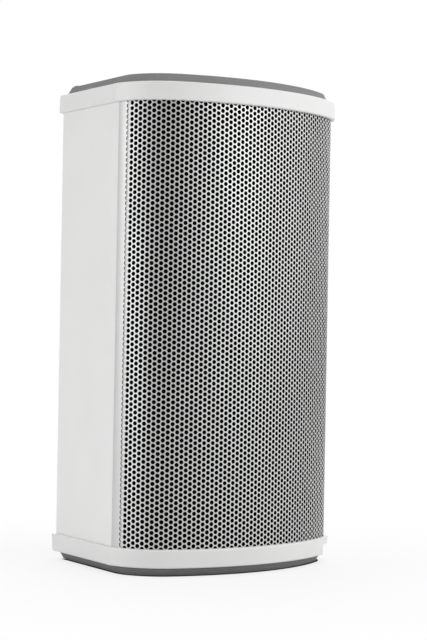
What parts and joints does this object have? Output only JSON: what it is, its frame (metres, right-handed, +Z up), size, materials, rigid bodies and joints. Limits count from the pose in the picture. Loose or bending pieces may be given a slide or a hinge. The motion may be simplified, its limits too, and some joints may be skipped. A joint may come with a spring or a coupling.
{
  "type": "pa wall loudspeaker",
  "caption": "Compact wall PA loudspeaker with a curved perforated front, overhanging end caps and grey end pads, and a line transformer inside.",
  "frame": {"origin": "under the middle of the cabinet, on the surface it stands on", "axes": "+Z up along the cabinet's height, -Y is the way the curved grille faces, +X to the right of someone facing the grille"},
  "size_m": [0.1604, 0.125, 0.2786],
  "materials": {
    "shell_paint": "satin white powder coat",
    "grille_paint": "satin white powder coat",
    "cap_plastic": "fine satin, white",
    "pad_rubber": "matt grey",
    "black_cloth": "acoustically open black cloth",
    "foam": "closed-cell foam, black",
    "zinc_steel": "bright zinc",
    "black_oxide_steel": "black oxide",
    "baffle_plastic": "matt black",
    "basket_paint": "satin black",
    "cone_paper": "pressed pulp, dark grey",
    "surround_rubber": "matt black",
    "spider_cloth": "resin-treated cotton, amber",
    "coil_former": "rolled foil",
    "copper_wire": "enamelled copper winding",
    "ferrite": "sintered ferrite, dark grey",
    "plated_steel": "zinc plated",
    "dome_silk": "coated silk",
    "core_steel": "stacked laminations, varnished",
    "bobbin_plastic": "natural nylon",
    "winding_tape": "yellow polyester tape",
    "board_laminate": "green glass-epoxy",
    "standoff_nylon": "natural nylon",
    "capacitor_film": "dipped, red-brown",
    "cement": "cement resistor, off-white",
    "tray_plastic": "fine-grained black",
    "steatite": "unglazed, cream",
    "terminal_brass": "bright",
    "switch_plastic": "black",
    "knob_plastic": "satin black",
    "strip_board": "phenolic with tinned tabs",
    "wire_plastic": "PVC insulation, red",
    "wool": "polyester wadding"
  },
  "bodies": {
    "cabinet": {"body_shell": "shell_paint", "front_grille": "grille_paint", "grille_cloth": "black_cloth", "bottom_end_cap": "cap_plastic", "top_end_cap": "cap_plastic", "bottom_cap_gasket": "foam", "top_cap_gasket": "foam", "bottom_pad": "pad_rubber", "top_pad": "pad_rubber", "cap_screws": "zinc_steel", "baffle": "baffle_plastic", "woofer_basket": "basket_paint", "woofer_mounting_seal": "foam", "woofer_clamp_ring": "foam", "woofer_surround": "surround_rubber", "woofer_spider": "spider_cloth", "woofer_top_plate": "plated_steel", "woofer_magnet": "ferrite", "woofer_yoke": "plated_steel", "woofer_terminals": "strip_board", "tweeter_faceplate": "baffle_plastic", "tweeter_surround": "surround_rubber", "tweeter_top_plate": "plated_steel", "tweeter_magnet": "ferrite", "tweeter_yoke": "plated_steel", "tweeter_terminals": "strip_board", "driver_screws": "black_oxide_steel", "transformer_core": "core_steel", "transformer_bobbin": "bobbin_plastic", "transformer_winding": "winding_tape", "transformer_bracket": "plated_steel", "transformer_screws": "zinc_steel", "crossover_board": "board_laminate", "board_standoffs": "standoff_nylon", "choke_bobbin": "ferrite", "choke_winding": "copper_wire", "film_capacitor": "capacitor_film", "power_resistor": "cement", "terminal_tray": "tray_plastic", "tray_seal": "foam", "tray_screws": "black_oxide_steel", "terminal_block": "steatite", "terminal_sleeves": "terminal_brass", "terminal_screws": "zinc_steel", "tap_switch": "switch_plastic", "tap_switch_nut": "plated_steel", "cable_clamp": "tray_plastic", "short_screws": "zinc_steel", "fixing_inserts": "plated_steel", "damping_wool": "wool", "driver_wires": "wire_plastic", "line_wires": "wire_plastic"},
    "woofer_cone_assembly": {"woofer_cone": "cone_paper", "woofer_dust_cap": "cone_paper", "woofer_coil_former": "coil_former", "woofer_voice_coil": "copper_wire"},
    "tweeter_dome_assembly": {"tweeter_dome": "dome_silk", "tweeter_coil": "copper_wire"},
    "power_tap_control": {"tap_knob": "knob_plastic", "tap_shaft": "plated_steel"}
  },
  "joints": [
    {"name": "woofer_travel", "type": "slide", "parent": "cabinet", "child": "woofer_cone_assembly", "axis": [0, 1, 0], "range_m": [-0.003, 0.003], "stiffness_N_per_m": 1200, "deforming": ["woofer_surround", "woofer_spider"]},
    {"name": "tweeter_travel", "type": "slide", "parent": "cabinet", "child": "tweeter_dome_assembly", "axis": [0, 1, 0], "range_m": [-0.0003, 0.0003], "stiffness_N_per_m": 1500, "deforming": ["tweeter_surround"]},
    {"name": "tap_selector_turn", "type": "hinge", "parent": "cabinet", "child": "power_tap_control", "pos_m": [0.021, 0.041, 0.09], "axis": [0, 1, 0], "range_deg": [-60, 60]}
  ]
}
